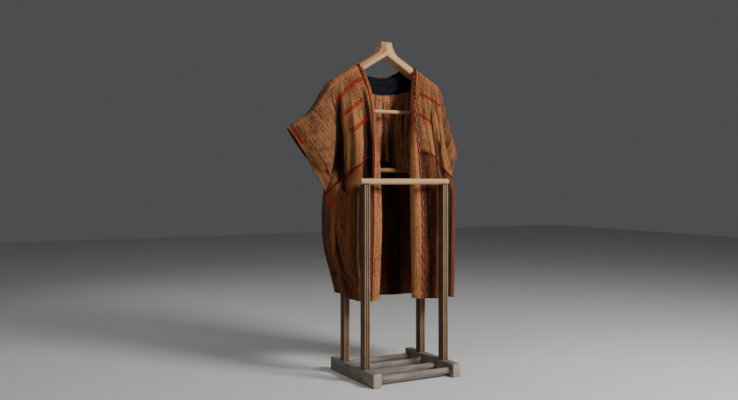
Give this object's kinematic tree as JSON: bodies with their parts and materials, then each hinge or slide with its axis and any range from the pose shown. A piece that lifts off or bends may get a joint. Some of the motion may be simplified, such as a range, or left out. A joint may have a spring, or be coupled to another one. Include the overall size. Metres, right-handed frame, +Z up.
{
  "type": "kaftan on a valet stand",
  "caption": "Short open-fronted striped wool kaftan with wide short sleeves, red stitched bands and a dark yoke lining, hung on a wooden valet stand.",
  "frame": {"origin": "on the floor under the middle of the bounding box of the stand and kaftan", "axes": "+Z up, -Y out of the kaftan's open front, +X towards the wearer's left, which is the right side as seen from the front"},
  "size_m": [0.6782, 0.304, 1.125],
  "materials": {
    "wool": "handwoven brown wool with thin dark stripes and a short nap",
    "lining": "dark navy cotton",
    "braid": "twisted cream and brown cotton braid",
    "red_thread": "red embroidery thread",
    "pale_wood": "plain birch, lightly waxed",
    "post_wood": "stained wood with pale fluted front",
    "weathered_wood": "weathered grey-brown, matt"
  },
  "bodies": {
    "root": {"back_lower": "wool", "back_upper": "wool", "edge_braid_left": "braid", "edge_braid_right": "braid", "foot_left": "weathered_wood", "foot_right": "weathered_wood", "front_band_left": "wool", "front_band_right": "wool", "front_bar": "pale_wood", "front_left_lower": "wool", "front_left_upper": "wool", "front_right_lower": "wool", "front_right_upper": "wool", "hanger_left": "pale_wood", "hanger_right": "pale_wood", "post_back_left": "post_wood", "post_back_right": "post_wood", "post_front_left": "post_wood", "post_front_right": "post_wood", "rail_lower": "pale_wood", "rail_upper": "pale_wood", "shoe_rod_1": "weathered_wood", "shoe_rod_2": "weathered_wood", "shoe_rod_3": "weathered_wood", "shoe_rod_4": "weathered_wood", "sleeve_left": "wool", "sleeve_right": "wool", "yoke_lining": "lining"}
  },
  "joints": []
}
